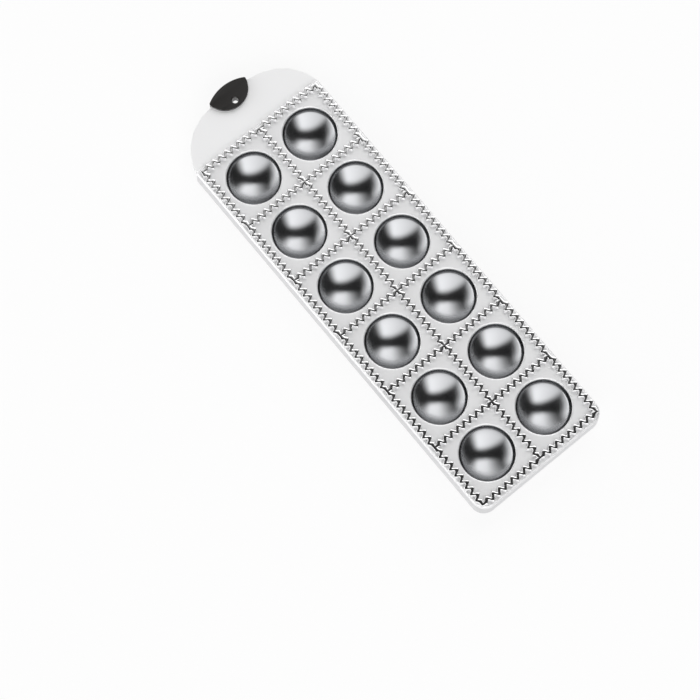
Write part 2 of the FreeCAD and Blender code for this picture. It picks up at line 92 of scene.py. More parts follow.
class Workpiece:
    """A mesh that is modelled step by step, in millimetres, its object at the origin."""

    def __init__(self, obj: bpy.types.Object) -> None:
        """Takes an object over."""
        self.obj = obj

    @classmethod
    def settled(cls, name: str) -> "Workpiece":
        """Takes over the primitive that was just added, with its place moved into its mesh."""
        obj = bpy.context.object
        obj.name = obj.data.name = name
        bpy.ops.object.transform_apply(location=True, rotation=True, scale=True)
        return cls(obj)

    @classmethod
    def block(cls, name: str, low: Vector, high: Vector) -> "Workpiece":
        """Starts from a box between two corners."""
        bpy.ops.object.select_all(action="DESELECT")
        bpy.ops.mesh.primitive_cube_add(size=1, location=(low + high) / 2, scale=high - low)
        return cls.settled(name)

    @classmethod
    def rod(
        cls, name: str, x: float, y: float, radius: float, bottom: float, top: float,
        sides: int = 128,
    ) -> "Workpiece":
        """Starts from an upright cylinder.

        Args:
            name: The piece's name.
            x: Where its axis stands, across.
            y: Where its axis stands, along.
            radius: Its radius.
            bottom: The height of its lower end.
            top: The height of its upper end.
            sides: How many sides it has.

        Returns:
            The cylinder.
        """
        bpy.ops.object.select_all(action="DESELECT")
        bpy.ops.mesh.primitive_cylinder_add(
            vertices=sides, radius=radius, depth=top - bottom, location=(x, y, (bottom + top) / 2))
        return cls.settled(name)

    @classmethod
    def point(cls, name: str, place: Vector) -> "Workpiece":
        """Starts from a small plane that is merged into one point."""
        bpy.ops.object.select_all(action="DESELECT")
        bpy.ops.mesh.primitive_plane_add(size=1, location=place)
        piece = cls.settled(name)
        with piece.editing():
            bpy.ops.mesh.select_mode(type="VERT")
            bpy.ops.mesh.select_all(action="SELECT")
            bpy.ops.mesh.merge(type="CENTER")
        return piece

    @contextmanager
    def editing(self) -> Iterator[None]:
        """Edit mode on this piece alone."""
        self.activate()
        bpy.ops.object.mode_set(mode="EDIT")
        yield
        bpy.ops.object.mode_set(mode="OBJECT")

    def activate(self) -> None:
        """Makes this piece the only one selected."""
        bpy.ops.object.select_all(action="DESELECT")
        self.obj.select_set(True)
        bpy.context.view_layer.objects.active = self.obj

    def pick(self, element: Element, test: Callable[[Vector], bool]) -> None:
        """Selects, in edit mode, each element whose corners all pass a test of their place."""
        bpy.ops.mesh.select_mode(type=element.value)
        bpy.ops.mesh.select_all(action="DESELECT")
        mesh = bmesh.from_edit_mesh(self.obj.data)
        if element is Element.VERT:
            for vert in mesh.verts:
                vert.select_set(test(vert.co))
        else:
            for item in mesh.edges if element is Element.EDGE else mesh.faces:
                item.select_set(all(test(vert.co) for vert in item.verts))
        mesh.select_flush_mode()
        bmesh.update_edit_mesh(self.obj.data)

    def draw_line(self, step: Vector) -> None:
        """Extrudes the selected point by a step."""
        bpy.ops.mesh.extrude_vertices_move(TRANSFORM_OT_translate={"value": step})

    def draw_arc(self, centre: Vector, angle: float, steps: int, axis: Vector) -> None:
        """Turns the selected points about an axis and leaves a trail.

        Args:
            centre: A point of the axis.
            angle: How far they turn, in radians, anticlockwise seen from the axis's tip.
            steps: How many edges the arc has.
            axis: The axis's direction.
        """
        bpy.ops.mesh.spin(steps=steps, angle=-angle, center=centre, axis=axis)

    def turn(self, centre: Vector, steps: int) -> None:
        """Turns the whole outline about an upright axis into a closed, outward-facing skin."""
        bpy.ops.mesh.select_all(action="SELECT")
        bpy.ops.mesh.spin(steps=steps, angle=math.tau, center=centre, axis=(0, 0, 1))
        self.tidy()

    def tidy(self) -> None:
        """Merges doubled points and turns all faces outwards, in edit mode."""
        bpy.ops.mesh.select_all(action="SELECT")
        bpy.ops.mesh.remove_doubles(threshold=MERGE)
        bpy.ops.mesh.normals_make_consistent(inside=False)

    def raise_outline(self, height: float) -> None:
        """Fills a closed outline and extrudes it by a height, in edit mode."""
        bpy.ops.mesh.select_all(action="SELECT")
        bpy.ops.mesh.remove_doubles(threshold=MERGE)
        bpy.ops.mesh.edge_face_add()
        bpy.ops.mesh.extrude_region_move(TRANSFORM_OT_translate={"value": (0, 0, height)})
        bpy.ops.mesh.select_all(action="SELECT")
        bpy.ops.mesh.normals_make_consistent(inside=False)

    def round_edges(self, width: float, segments: int) -> None:
        """Rounds the selected edges."""
        bpy.ops.mesh.bevel(
            offset_type="OFFSET", offset=width, segments=segments, affect="EDGES",
            clamp_overlap=True)

    def apply(self, kind: str, **settings: object) -> None:
        """Adds a modifier with some settings and applies it."""
        self.activate()
        modifier = self.obj.modifiers.new(kind.lower(), kind)
        for name, setting in settings.items():
            setattr(modifier, name, setting)
        bpy.ops.object.modifier_apply(modifier=modifier.name)

    def combine(self, how: Join, *tools: "Workpiece") -> None:
        """Adds other solids to this one or cuts them from it, and uses them up."""
        for tool in tools:
            self.apply(
                "BOOLEAN", operation=how.value, solver="EXACT", object=tool.obj,
                material_mode="TRANSFER")
            bpy.data.objects.remove(tool.obj)

    def join(self, *others: "Workpiece") -> None:
        """Takes other meshes into this one, as they are."""
        self.activate()
        for other in others:
            other.obj.select_set(True)
        bpy.ops.object.join()

    def copied(self, step: Vector) -> "Workpiece":
        """A copy with its own mesh, a step away."""
        self.activate()
        bpy.ops.object.duplicate(linked=False)
        bpy.ops.transform.translate(value=step)
        return self.settled(self.obj.name + "_copy")

    def dress(self, *finishes: bpy.types.Material) -> None:
        """Gives the mesh its materials, in the order of its slots."""
        self.obj.data.materials.clear()
        for finish in finishes:
            self.obj.data.materials.append(finish)

    def smooth(self, angle: float) -> None:
        """Shades faces smoothly where they meet at less than an angle, the large ones flat."""
        self.activate()
        bpy.ops.object.shade_smooth_by_angle(angle=angle)
        self.apply("WEIGHTED_NORMAL", mode="FACE_AREA", weight=100, keep_sharp=True)

    def finish(self, slot: str, node: str) -> None:
        """Brings the piece to metres and ties it to the frame.

        Args:
            slot: The record's material slot; not used.
            node: The node of the frame that it stands for.
        """
        self.activate()
        self.obj.scale = (MM, MM, MM)
        bpy.ops.object.transform_apply(location=True, rotation=True, scale=True)
        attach(self.obj, BODY)
        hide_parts(node)
        triangles = sum(len(face.vertices) - 2 for face in self.obj.data.polygons)
        log.info("%s for %s: %d triangles", self.obj.name, node, triangles)


class Signal:
    """A shader socket that joins in Python arithmetic."""

    def __init__(self, board: "Board", socket: bpy.types.NodeSocket) -> None:
        """Wraps an output socket of a node tree."""
        self.board, self.socket = board, socket

    def math(self, operation: str, *others: "Signal | float") -> "Signal":
        """One Math node on this signal and others."""
        values = dict(enumerate((self, *others)))
        return self.board.add("ShaderNodeMath", {"operation": operation}, values)

    def __add__(self, other: "Signal | float") -> "Signal":
        """Sum."""
        return self.math("ADD", other)

    __radd__ = __add__

    def __sub__(self, other: "Signal | float") -> "Signal":
        """Difference."""
        return self.math("SUBTRACT", other)

    def __rsub__(self, other: float) -> "Signal":
        """A number less this signal."""
        return self.math("MULTIPLY_ADD", -1.0, other)

    def __mul__(self, other: "Signal | float") -> "Signal":
        """Product."""
        return self.math("MULTIPLY", other)

    __rmul__ = __mul__

    def step(self, low: float, high: float) -> "Signal":
        """0 below one value, 1 above another, and a smooth rise between them."""
        return self.board.add(
            "ShaderNodeMapRange", {"interpolation_type": "SMOOTHSTEP"},
            {"Value": self, "From Min": low, "From Max": high})


class Board:
    """The node tree of a material or of the world."""

    def __init__(self, owner: bpy.types.Material | bpy.types.World) -> None:
        """Clears the owner's tree."""
        owner.use_nodes = True
        self.tree = owner.node_tree
        self.tree.nodes.clear()

    def add(
        self, kind: str, settings: dict[str, object] | None = None,
        inputs: dict[int | str, object] | None = None, output: int | str = 0,
    ) -> Signal:
        """Adds a node.

        Args:
            kind: The node's type.
            settings: Its properties, set first.
            inputs: The values or signals of its sockets.
            output: The socket that is handed back.

        Returns:
            The node's output.
        """
        node = self.tree.nodes.new(kind)
        for name, setting in (settings or {}).items():
            setattr(node, name, setting)
        for name, feed in (inputs or {}).items():
            if isinstance(feed, Signal):
                self.tree.links.new(feed.socket, node.inputs[name])
            else:
                node.inputs[name].default_value = feed
        return Signal(self, node.outputs[output] if node.outputs else None)

    def place(self) -> Signal:
        """The place on the piece, in metres."""
        return self.add("ShaderNodeTexCoord", output="Object")

    def parts(self, vector: Signal) -> tuple[Signal, Signal, Signal]:
        """The X, Y and Z of a vector."""
        split = self.add("ShaderNodeSeparateXYZ", inputs={0: vector})
        return tuple(Signal(self, socket) for socket in split.socket.node.outputs)

    def noise(self, vector: Signal, size: float, detail: float = 2.0) -> Signal:
        """A soft noise about 0.5 whose blotches have a size in metres."""
        return self.add(
            "ShaderNodeTexNoise", inputs={"Vector": vector, "Scale": 1 / size, "Detail": detail})


@dataclass(frozen=True)
class Finish:
    """A surface of the mould, with its grain and its unevenness."""

    name: str
    colour: tuple[float, float, float]
    metallic: float
    roughness: float
    unevenness: float
    blotch: float
    grain: float
    grain_depth: float

    def material(self) -> bpy.types.Material:
        """Builds the finish's node tree.

        Returns:
            The material.
        """
        material = bpy.data.materials.new(self.name)
        board = Board(material)
        place = board.place()
        cloud = board.noise(place, self.blotch, 3.0)
        roughness = self.roughness + (cloud - 0.5) * self.unevenness
        relief = board.add(
            "ShaderNodeBump",
            inputs={
                "Strength": 1.0, "Distance": self.grain_depth,
                "Height": board.noise(place, self.grain)})
        tone = board.add(
            "ShaderNodeMix", {"data_type": "RGBA"},
            {
                "Factor": cloud,
                "A": (*[channel * 0.985 for channel in self.colour], 1.0),
                "B": (*self.colour, 1.0)},
            output="Result")
        surface = board.add(
            "ShaderNodeBsdfPrincipled",
            inputs={
                "Base Color": tone, "Metallic": self.metallic, "Roughness": roughness,
                "Normal": relief})
        board.add("ShaderNodeOutputMaterial", inputs={"Surface": surface})
        return material


@dataclass(frozen=True)
class Layout:
    """The tray's sizes in millimetres, and the places that follow from them."""

    pitch: float = 46.0
    columns: int = 2
    rows: int = 6
    wall: float = 1.8
    draft: float = math.radians(1.5)
    side_margin: float = 3.8
    end_margin: float = 4.8
    shoulder_margin: float = 3.3
    skirt: float = 15.0
    foot_proud: float = 1.0

    @property
    def flare(self) -> float:
        """How far the drafted skirt spreads from top to foot."""
        return self.skirt * math.tan(self.draft)

    @property
    def half_width(self) -> float:
        """Half the tray's width at its top."""
        return self.columns * self.pitch / 2 + self.side_margin

    @property
    def half_grid(self) -> Vector:
        """Half the grid of cells, across and along."""
        return Vector((self.columns, self.rows, 0)) * self.pitch / 2

    @property
    def grid_y(self) -> float:
        """Where the middle of the grid lies along the tray."""
        low, _ = node_box("mould_plate")
        return low.y + self.flare + self.end_margin + self.half_grid.y

    @property
    def end_y(self) -> float:
        """The end of the tray at its top, away from the handle."""
        return self.grid_y - self.half_grid.y - self.end_margin

    @property
    def shoulder_y(self) -> float:
        """The end of the tray at its top, towards the handle."""
        return self.grid_y + self.half_grid.y + self.shoulder_margin

    @property
    def cell_z(self) -> float:
        """The height of the cells' floor."""
        return self.foot_proud + self.skirt

    @property
    def underside_z(self) -> float:
        """The height of the hollow's ceiling."""
        return self.cell_z - self.wall

    def cell_middles(self) -> list[Vector]:
        """The middle of each cell, at the height of its floor."""
        first = Vector((0, self.grid_y, self.cell_z)) - self.half_grid
        first += Vector((self.pitch, self.pitch, 0)) / 2
        return [
            first + Vector((column, row, 0)) * self.pitch
            for row in range(self.rows) for column in range(self.columns)]


@dataclass(frozen=True)
class Bowls:
    """The round bowls that are pressed down into the cells."""

    layout: Layout
    rim_radius: float = 18.0
    depth: float = 12.0
    edge_radius: float = 17.6
    lip_drop: float = 1.0
    bottom_radius: float = 19.0
    steepness: int = 50
    overlap: float = 0.003
    headroom: float = 2.0
    meridians: int = 112
    rings: int = 36
    lip_steps: int = 8

    @property
    def ball(self) -> float:
        """The radius of the ball that a bowl comes close to."""
        return (self.rim_radius ** 2 + self.depth ** 2) / (2 * self.depth)

    @property
    def collar(self) -> float:
        """How much of the depth lies in the steep collar under the lip."""
        return self.depth - self.lip_drop - self.edge_radius ** 2 / (2 * self.bottom_radius)

    @property
    def edge_slope(self) -> float:
        """The angle of the collar where the lip begins to roll out."""
        return math.atan(
            self.edge_radius / self.bottom_radius
            + self.steepness * self.collar / self.edge_radius)

    def height(self, radius: float) -> float:
        """The polished flank's height over the floor of the cell."""
        rise = self.collar * (radius / self.edge_radius) ** self.steepness
        return radius ** 2 / (2 * self.bottom_radius) + rise - self.depth

    def cutter(self, middle: Vector) -> Workpiece:
        """Models the hollow of one bowl, with the lip that rolls out over the floor.

        Args:
            middle: The middle of the cell, at its floor.

        Returns:
            The solid to cut away.
        """
        turns = (math.pi / 2 * k / self.rings for k in range(self.rings + 1))
        radii = [self.edge_radius * math.sin(turn) for turn in turns]
        outline = [Vector((radius, 0, self.height(radius))) for radius in radii]
        roll = self.edge_slope
        lip_radius = (self.lip_drop + self.overlap) / (1 - math.cos(roll))
        outwards = Vector((math.sin(roll), 0, -math.cos(roll)))
        lip_centre = middle + outline[-1] + outwards * lip_radius
        piece = Workpiece.point("bowl_cutter", middle + outline[0])
        with piece.editing():
            for before, after in zip(outline, outline[1:]):
                piece.draw_line(after - before)
            piece.draw_arc(lip_centre, roll, self.lip_steps, Vector((0, 1, 0)))
            piece.draw_line(Vector((0, 0, self.headroom)))
            piece.draw_line(Vector((middle.x - lip_centre.x, 0, 0)))
            piece.turn(middle, self.meridians)
        return piece

    def cutters(self, shaded_bowls: bpy.types.Material, satin: bpy.types.Material) -> Workpiece:
        """Models the hollows of all bowls, polished and darkened with painted shade inside, satin
        on their lips.

        Args:
            shaded_bowls: The bowls' polished aluminium, darkened with painted shade.
            satin: The finish of their lips.

        Returns:
            The solids to cut away, as one piece.
        """
        middles = self.layout.cell_middles()
        first = self.cutter(middles[0])
        # The bowls take the darkened polished aluminium, painted shade; the lips keep the satin.
        first.dress(shaded_bowls, satin)
        lip_bottom = self.layout.cell_z - self.lip_drop
        with first.editing():
            first.pick(Element.FACE, lambda place: place.z > lip_bottom - MERGE)
            first.obj.active_material_index = 1
            bpy.ops.object.material_slot_assign()
        copies = [first.copied(middle - middles[0]) for middle in middles[1:]]
        first.join(*copies)
        return first

    def dome(self, middle: Vector) -> Workpiece:
        """Models the outside of one bowl, which bulges into the hollow under the tray.

        Args:
            middle: The middle of the cell, at its floor.

        Returns:
            The solid to add.
        """
        wall = self.layout.wall
        centre = middle + Vector((0, 0, self.ball - self.depth))
        outer = self.ball + wall
        opening = math.acos((centre.z - middle.z + wall / 2) / outer)
        piece = Workpiece.point("dome", centre - Vector((0, 0, outer)))
        with piece.editing():
            piece.draw_arc(centre, -opening, 20, Vector((0, 1, 0)))
            piece.draw_line(Vector((-outer * math.sin(opening), 0, 0)))
            piece.turn(middle, self.meridians // 2)
        return piece


@dataclass(frozen=True)
class Handle:
    """The arched plate at one end, with a shallow rim and a cut-out for the hanging tab."""

    layout: Layout
    shoulder_step: float = 0.5
    reach: float = 29.2
    side_radius: float = 36.0
    end_radius: float = 99.0
    drop: float = 0.9
    rim_depth: float = 3.5
    edge_radius: float = 1.2
    tab_grip: float = 1.6
    clearance: float = 0.1

    @property
    def top_z(self) -> float:
        """The height of the plate's face."""
        return self.layout.cell_z - self.drop

    @property
    def end_y(self) -> float:
        """The far end of the plate."""
        return self.layout.shoulder_y + self.reach

    def arch(self, name: str, inset: float, root: float, top: float, bottom: float) -> Workpiece:
        """Models the arch as a solid plate.

        Args:
            name: The piece's name.
            inset: How far the outline is drawn in.
            root: How far the plate runs back behind the shoulder.
            top: The height of its face.
            bottom: The height of its underside.

        Returns:
            The plate.
        """
        half_width = self.layout.half_width - self.shoulder_step - inset
        small, large = self.side_radius - inset, self.end_radius - inset
        middle = Vector((0, self.end_y - self.end_radius, top))
        corner = Vector((half_width, self.layout.shoulder_y, top))
        gap = (corner - middle).length
        reach = large - small
        along = (reach ** 2 - small ** 2 + gap ** 2) / (2 * gap)
        aside = math.sqrt(reach ** 2 - along ** 2)
        way = (corner - middle) / gap
        side = middle + way * along + Vector((-way.y, way.x, 0)) * aside
        meet = middle + (side - middle).normalized() * large
        upright = Vector((0, 0, 1))
        side_turn = (corner - side).angle(meet - side)
        end_turn = 2 * (meet - middle).angle(Vector((0, 1, 0)))
        piece = Workpiece.point(name, corner - Vector((0, root, 0)))
        with piece.editing():
            piece.draw_line(Vector((0, root, 0)))
            piece.draw_arc(side, side_turn, 24, upright)
            piece.draw_arc(middle, end_turn, 32, upright)
            piece.draw_arc(Vector((-side.x, side.y, side.z)), side_turn, 24, upright)
            piece.draw_line(Vector((0, -root, 0)))
            piece.raise_outline(bottom - top)
        return piece

    def model(self, tab: "HangingTab") -> Workpiece:
        """Models the plate with its rim.

        Args:
            tab: The hanging tab, whose seat is cut out.

        Returns:
            The plate.
        """
        wall, top, shoulder = self.layout.wall, self.top_z, self.layout.shoulder_y
        plate = self.arch("handle", 0.0, wall / 2, top, top - self.rim_depth)
        with plate.editing():
            plate.pick(
                Element.EDGE,
                lambda place: place.z > top - NEAR and place.y > shoulder - NEAR)
            plate.round_edges(self.edge_radius, 6)
        recess = self.arch("recess", wall, wall, top - wall, top - self.rim_depth - 1)
        seat = Workpiece.rod(
            "seat", 0, tab.belly_y, tab.belly_radius - self.tab_grip, top - 10, top + 1)
        relief = Workpiece.rod(
            "relief", 0, tab.belly_y, tab.belly_radius + self.clearance, top - 10, top - wall)
        plate.combine(Join.CUT, recess, seat, relief)
        return plate


@dataclass(frozen=True)
class HangingTab:
    """The lens of black plastic that grips the handle's cut-out, with the hanging hole."""

    layout: Layout
    handle_end_y: float
    handle_z: float
    width: float = 29.3
    overhang: float = 4.5
    crown: float = 4.1
    belly: float = 12.7
    tip_radius: float = 1.5
    cap: float = 2.0
    base: float = 3.2
    edge_radius: float = 0.9
    grip: float = 1.6
    clearance: float = 0.1
    handle_end_radius: float = 99.0
    hole_radius: float = 2.0
    hole_inset: float = 12.3
    mouth: float = 0.8
    overlap: float = 0.005

    @property
    def tip_y(self) -> float:
        """How far along the two tips lie."""
        return self.handle_end_y + self.overhang - self.crown

    @property
    def belly_radius(self) -> float:
        """The radius of the curve over the handle."""
        return (self.width ** 2 / 4 + self.belly ** 2) / (2 * self.belly)

    @property
    def crown_radius(self) -> float:
        """The radius of the curve outside."""
        return (self.width ** 2 / 4 + self.crown ** 2) / (2 * self.crown)

    @property
    def belly_y(self) -> float:
        """How far along the middle of the curve over the handle lies."""
        return self.tip_y - self.belly + self.belly_radius

    def model(self) -> Workpiece:
        """Models the lens, its groove and its hole.

        Returns:
            The tab.
        """
        top = self.handle_z + self.cap
        bottom = self.handle_z - self.layout.wall - self.base
        tip = Vector((self.width / 2, self.tip_y, top))
        crown_middle = Vector((0, self.tip_y + self.crown - self.crown_radius, top))
        belly_middle = Vector((0, self.belly_y, top))
        upright = Vector((0, 0, 1))
        crown_turn = 2 * math.asin(self.width / 2 / self.crown_radius)
        belly_turn = 2 * math.pi - 2 * math.atan2(self.width / 2, self.tip_y - self.belly_y)
        lens = Workpiece.point("hanging_tab", tip)
        with lens.editing():
            lens.draw_arc(crown_middle, crown_turn, 40, upright)
            lens.draw_arc(belly_middle, belly_turn, 56, upright)
            lens.raise_outline(bottom - top)
        tips = self.width / 2 - NEAR
        with lens.editing():
            lens.pick(Element.EDGE, lambda place: abs(place.x) > tips)
            lens.round_edges(self.tip_radius, 6)
            lens.pick(Element.EDGE, lambda place: place.z > top - NEAR)
            lens.round_edges(self.edge_radius, 6)
            lens.pick(Element.EDGE, lambda place: place.z < bottom + NEAR)
            lens.round_edges(self.edge_radius, 4)
        low = self.handle_z - self.layout.wall - self.clearance / 2
        high = self.handle_z + self.clearance / 2
        groove = Workpiece.rod(
            "groove", 0, self.handle_end_y - self.handle_end_radius,
            self.handle_end_radius + self.clearance, low, high, 512)
        core = Workpiece.rod(
            "core", 0, self.belly_y, self.belly_radius - self.grip - self.clearance,
            low - 1, high + 1)
        groove.combine(Join.CUT, core)
        lens.combine(Join.CUT, groove, self.hole(top, bottom))
        return lens

    def hole(self, top: float, bottom: float) -> Workpiece:
        """Models the hanging hole with its rounded mouth as a solid to cut away."""
        hole_y = self.handle_end_y + self.overhang - self.hole_inset
        start = Vector((0, hole_y, bottom - 1))
        mouth_middle = Vector((
            self.hole_radius + self.mouth, hole_y, top - self.mouth + self.overlap))
        piece = Workpiece.point("hole", start)
        with piece.editing():
            piece.draw_line(Vector((self.hole_radius, 0, 0)))
            piece.draw_line(Vector((0, 0, mouth_middle.z - start.z)))
            piece.draw_arc(mouth_middle, math.pi / 2, 6, Vector((0, 1, 0)))
            piece.draw_line(Vector((0, 0, 1)))
            piece.draw_line(Vector((-self.hole_radius - self.mouth, 0, 0)))
            piece.turn(start, 64)
        return piece


@dataclass(frozen=True)
class Tray:
    """The casting's body: drafted skirt, cell floor, bowls and foot posts, with its handle."""

    layout: Layout
    bowls: Bowls
    handle: Handle
    tab: HangingTab
    end_corner: float = 9.0
    shoulder_corner: float = 2.2
    top_edge: float = 1.6
    inner_edge: float = 0.8
    foot_inset: float = 5.3
    post_radius: float = 4.75
    stem_radius: float = 2.0
    stem_top: float = 7.1
    foot_thickness: float = 2.0

    def shell(self, name: str, inset: float, top: float, bottom: float, edge: float) -> Workpiece:
        """Models a block with rounded corners and drafted sides.

        Args:
            name: The piece's name.
            inset: How far its outline is drawn in.
            top: The height of its top.
            bottom: The height of its foot.
            edge: The radius of its top edge.

        Returns:
            The block.
        """
        layout = self.layout
        low = Vector((inset - layout.half_width, layout.end_y + inset, bottom))
        high = Vector((layout.half_width - inset, layout.shoulder_y - inset, top))
        piece = Workpiece.block(name, low, high)
        middle = (low.y + high.y) / 2
        flare = (top - bottom) * math.tan(layout.draft)
        spread = Vector((1 + flare / high.x, 1 + 2 * flare / (high.y - low.y), 1))
        ends = ((-1, self.end_corner), (1, self.shoulder_corner))
        with piece.editing():
            for end, radius in ends:
                piece.pick(
                    Element.EDGE,
                    lambda place: (place.y - middle) * end > middle - low.y - NEAR
                    and abs(place.x) > high.x - NEAR)
                self.keep_upright(piece)
                piece.round_edges(radius - inset, 12)
            piece.pick(Element.VERT, lambda place: place.z < bottom + NEAR)
            bpy.ops.transform.resize(value=spread, center_override=(0, middle, bottom))
            piece.pick(Element.EDGE, lambda place: place.z > top - NEAR)
            piece.round_edges(edge, 6)
        return piece

    @staticmethod
    def keep_upright(piece: Workpiece) -> None:
        """Leaves only the upright edges selected."""
        mesh = bmesh.from_edit_mesh(piece.obj.data)
        for edge in mesh.edges:
            if edge.select and abs(edge.verts[0].co.z - edge.verts[1].co.z) < NEAR:
                edge.select_set(False)
        bmesh.update_edit_mesh(piece.obj.data)

    def foot_places(self) -> list[Vector]:
        """Where the feet stand."""
        reach = self.layout.half_grid - Vector((self.foot_inset, self.foot_inset, 0))
        return [
            Vector((side * reach.x, self.layout.grid_y + end * reach.y, 0))
            for end in (-1, 1) for side in (-1, 1)]

    def model(self, satin: bpy.types.Material, shaded_skirt: bpy.types.Material,
              matte: bpy.types.Material, shaded_bowls: bpy.types.Material,
              raw: bpy.types.Material) -> Workpiece:
        """Models the whole casting apart from its ridges.

        Args:
            satin: The finish of the cells.
            shaded_skirt: The skirt's aluminium: a darker, slightly glossier copy of the satin,
                with painted shade on the sides.
            matte: The finish of the handle.
            shaded_bowls: The bowls' polished aluminium, darkened with painted shade.
            raw: The finish of the underside.

        Returns:
            The casting.
        """
        layout = self.layout
        tray = self.shell("tray", 0.0, layout.cell_z, layout.foot_proud, self.top_edge)
        tray.dress(satin, shaded_skirt)
        # The skirt's faces take the darker copy of the satin: painted shade on the sides.
        with tray.editing():
            tray.pick(
                Element.FACE, lambda place: place.z < layout.cell_z - self.top_edge + NEAR)
            tray.obj.active_material_index = 1
            bpy.ops.object.material_slot_assign()
        hollow = self.shell(
            "hollow", layout.wall, layout.underside_z, layout.foot_proud, self.inner_edge)
        with hollow.editing():
            hollow.pick(Element.FACE, lambda place: place.z < layout.foot_proud + NEAR)
            bpy.ops.mesh.extrude_region_move(TRANSFORM_OT_translate={"value": (0, 0, -1)})
        domes = [self.bowls.dome(middle) for middle in layout.cell_middles()]
        posts = [
            Workpiece.rod(
                "post", place.x, place.y, self.post_radius, self.foot_thickness,
                layout.cell_z - layout.wall / 2, 64)
            for place in self.foot_places()]
        domes[0].join(*domes[1:], *posts)
        hollow.dress(raw)
        domes[0].dress(raw)
        tray.combine(Join.CUT, hollow)
        tray.combine(Join.ADD, domes[0])
        handle = self.handle.model(self.tab)
        handle.dress(matte)
        tray.combine(Join.ADD, handle)
        tray.combine(Join.CUT, self.bowls.cutters(shaded_bowls, satin))
        stems = [
            Workpiece.rod("stem", place.x, place.y, self.stem_radius, 0, self.stem_top, 48)
            for place in self.foot_places()]
        stems[0].join(*stems[1:])
        stems[0].dress(raw)
        tray.combine(Join.CUT, stems[0])
        tray.smooth(SHARP)
        return tray


@dataclass(frozen=True)
class Ridges:
    """The serpentine ridges that seal and cut the dough, straight at each crossing."""

    layout: Layout
    height: float = 2.5
    root: float = 0.5
    foot_half: float = 1.5
    crest_half: float = 1.15
    swing: float = 1.3
    slant: float = 1.7
    teeth: int = 8
    straight: float = 3.0
    overshoot: float = 1.5
    foot_flare: float = 0.3
    foot_rise: float = 0.1
    crest_flare: float = 0.15
    crest_start: float = 0.7
    fineness: int = 2

    def section(self) -> list[Vector]:
        """The control points of the ridge's section, over the crest and round to the start."""
        half = [
            Vector((0, self.foot_half + self.foot_flare, -self.root)),
            Vector((0, self.foot_half, self.foot_rise)),
            Vector((0, self.crest_half + self.crest_flare, self.height * self.crest_start)),
            Vector((0, self.crest_half, self.height)),
        ]
        crest = [Vector((0, 0, self.height))]
        other_half = [Vector((0, -place.y, place.z)) for place in reversed(half)]
        return half + crest + other_half + half[:1]

    def unit(self) -> Workpiece:
        """Models the ridge along one side of a cell, along X from the origin.

        Returns:
            An open skin, to be chained to the next one.
        """
        section = self.section()
        piece = Workpiece.point("ridge", section[0])
        step = (self.layout.pitch - 2 * self.straight) / self.teeth / 4
        sway = (0.0, 1.0, 0.0, -1.0)
        reach = self.swing * self.overshoot
        asides = [reach * sway[k % 4] for k in range(4 * self.teeth + 1)] + [0.0]
        with piece.editing():
            for start, end in zip(section, section[1:]):
                piece.draw_line(end - start)
            bpy.ops.mesh.select_all(action="SELECT")
            bpy.ops.mesh.remove_doubles(threshold=MERGE)
            self.extrude(Vector((self.straight - step, 0, 0)))
            place, wide = Vector((self.straight - step, 0, 0)), 1.0
            for aside in asides:
                move = Vector((step, aside - place.y, 0))
                self.extrude(move)
                place += move
                widen = (1.0 if aside else self.slant) / wide
                bpy.ops.transform.resize(value=(1, widen, 1), center_override=place)
                wide *= widen
            bpy.ops.transform.resize(value=(1, 1 / wide, 1), center_override=place)
            self.extrude(Vector((self.straight - step, 0, 0)))
        return piece

    @staticmethod
    def extrude(step: Vector) -> None:
        """Extrudes the selected edges by a step."""
        bpy.ops.mesh.extrude_edges_move(TRANSFORM_OT_translate={"value": step})

    def line(self, cells: int) -> Workpiece:
        """Models one whole ridge along some cells, closed at its ends."""
        piece = self.unit()
        piece.apply(
            "ARRAY", count=cells, use_relative_offset=False, use_constant_offset=True,
            constant_offset_displace=(self.layout.pitch, 0, 0), use_merge_vertices=True,
            merge_threshold=NEAR)
        length = cells * self.layout.pitch
        with piece.editing():
            for end, way in ((0.0, -1.0), (length, 1.0)):
                piece.pick(Element.EDGE, lambda place: abs(place.x - end) < NEAR)
                self.extrude(Vector((way * self.foot_half, 0, 0)))
                bpy.ops.mesh.edge_face_add()
            bpy.ops.mesh.select_all(action="SELECT")
            bpy.ops.mesh.normals_make_consistent(inside=False)
        return piece

    def place(self, piece: Workpiece, start: Vector, upright: bool) -> Workpiece:
        """Lays a copy of a ridge from a crossing of the grid.

        Args:
            piece: The ridge, along X from the origin.
            start: The crossing that it starts from.
            upright: Whether it runs along Y.

        Returns:
            The copy.
        """
        twin = piece.copied(Vector((0, 0, 0)))
        twin.obj.rotation_euler = (0, 0, math.pi / 2 if upright else 0)
        twin.obj.location = start
        twin.activate()
        bpy.ops.object.transform_apply(location=True, rotation=True, scale=True)
        return twin

    def lattice(self, upright: bool) -> Workpiece:
        """Models all the ridges that run one way.

        Args:
            upright: Whether they run along Y.

        Returns:
            The ridges as one piece.
        """
        layout = self.layout
        cells, lines = (layout.rows, layout.columns) if upright else (layout.columns, layout.rows)
        piece = self.line(cells)
        piece.apply("SUBSURF", levels=self.fineness, render_levels=self.fineness)
        step = Vector((1, 0, 0)) if upright else Vector((0, 1, 0))
        first = Vector((0, layout.grid_y, layout.cell_z)) - layout.half_grid
        copies = [
            self.place(piece, first + step * number * layout.pitch, upright)
            for number in range(lines + 1)]
        bpy.data.objects.remove(piece.obj)
        copies[0].join(*copies[1:])
        copies[0].obj.name = "ridges_along" if upright else "ridges_across"
        copies[0].activate()
        bpy.ops.object.shade_smooth()
        return copies[0]


